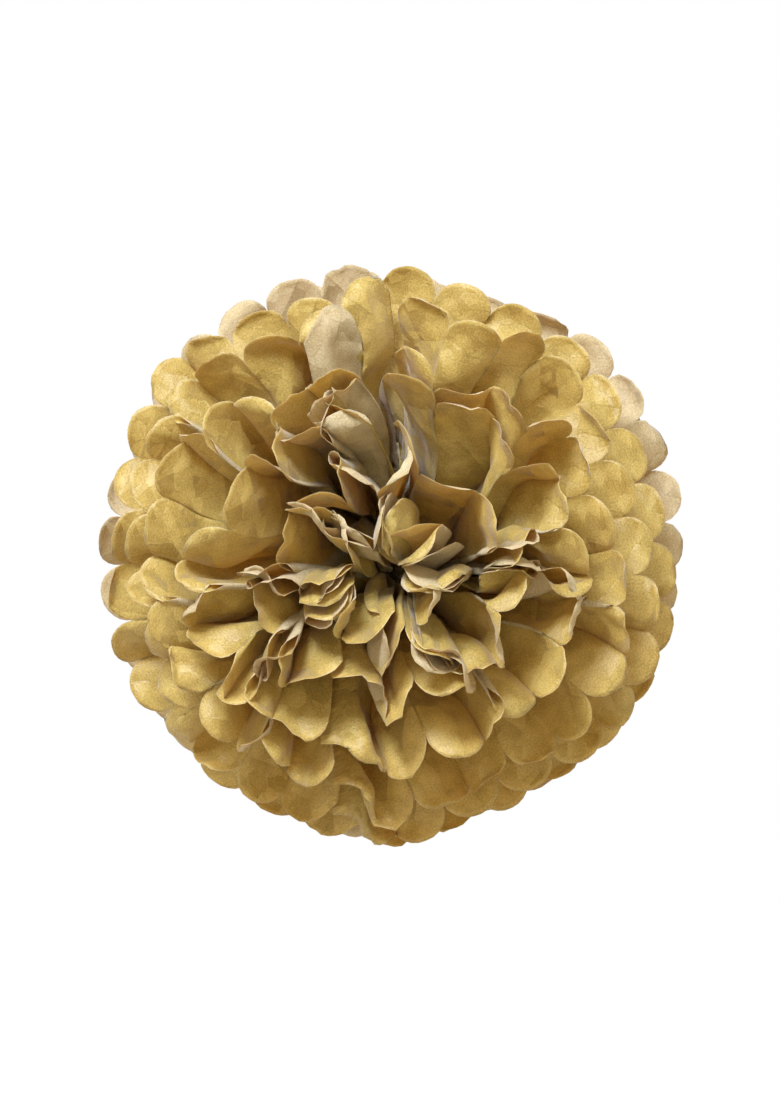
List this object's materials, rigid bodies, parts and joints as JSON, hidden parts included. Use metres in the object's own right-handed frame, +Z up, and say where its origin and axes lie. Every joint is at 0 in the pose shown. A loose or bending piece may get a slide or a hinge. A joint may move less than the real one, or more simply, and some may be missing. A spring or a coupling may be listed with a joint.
{
  "type": "tissue paper pom pom",
  "caption": "Round flower ball of accordion-folded tissue sheets with scalloped ends, tied at the middle with wire and fanned open, made to hang.",
  "frame": {"origin": "middle of the wire tie, which is the centre of the ball", "axes": "+Z up as it hangs, -Y towards the front flower, +X along the folded bar towards the right-hand fans"},
  "size_m": [0.3674, 0.3614, 0.3555],
  "materials": {
    "gold_tissue": "gold print with a soft sheen, unprinted reverse matte",
    "tie_wire": "plain drawn wire"
  },
  "bodies": {
    "root": {"sheet_01": "gold_tissue", "sheet_02": "gold_tissue", "sheet_03": "gold_tissue", "sheet_04": "gold_tissue", "sheet_05": "gold_tissue", "sheet_06": "gold_tissue", "sheet_07": "gold_tissue", "sheet_08": "gold_tissue", "sheet_09": "gold_tissue", "sheet_10": "gold_tissue", "sheet_11": "gold_tissue", "sheet_12": "gold_tissue", "wire_tie": "tie_wire"}
  },
  "joints": []
}
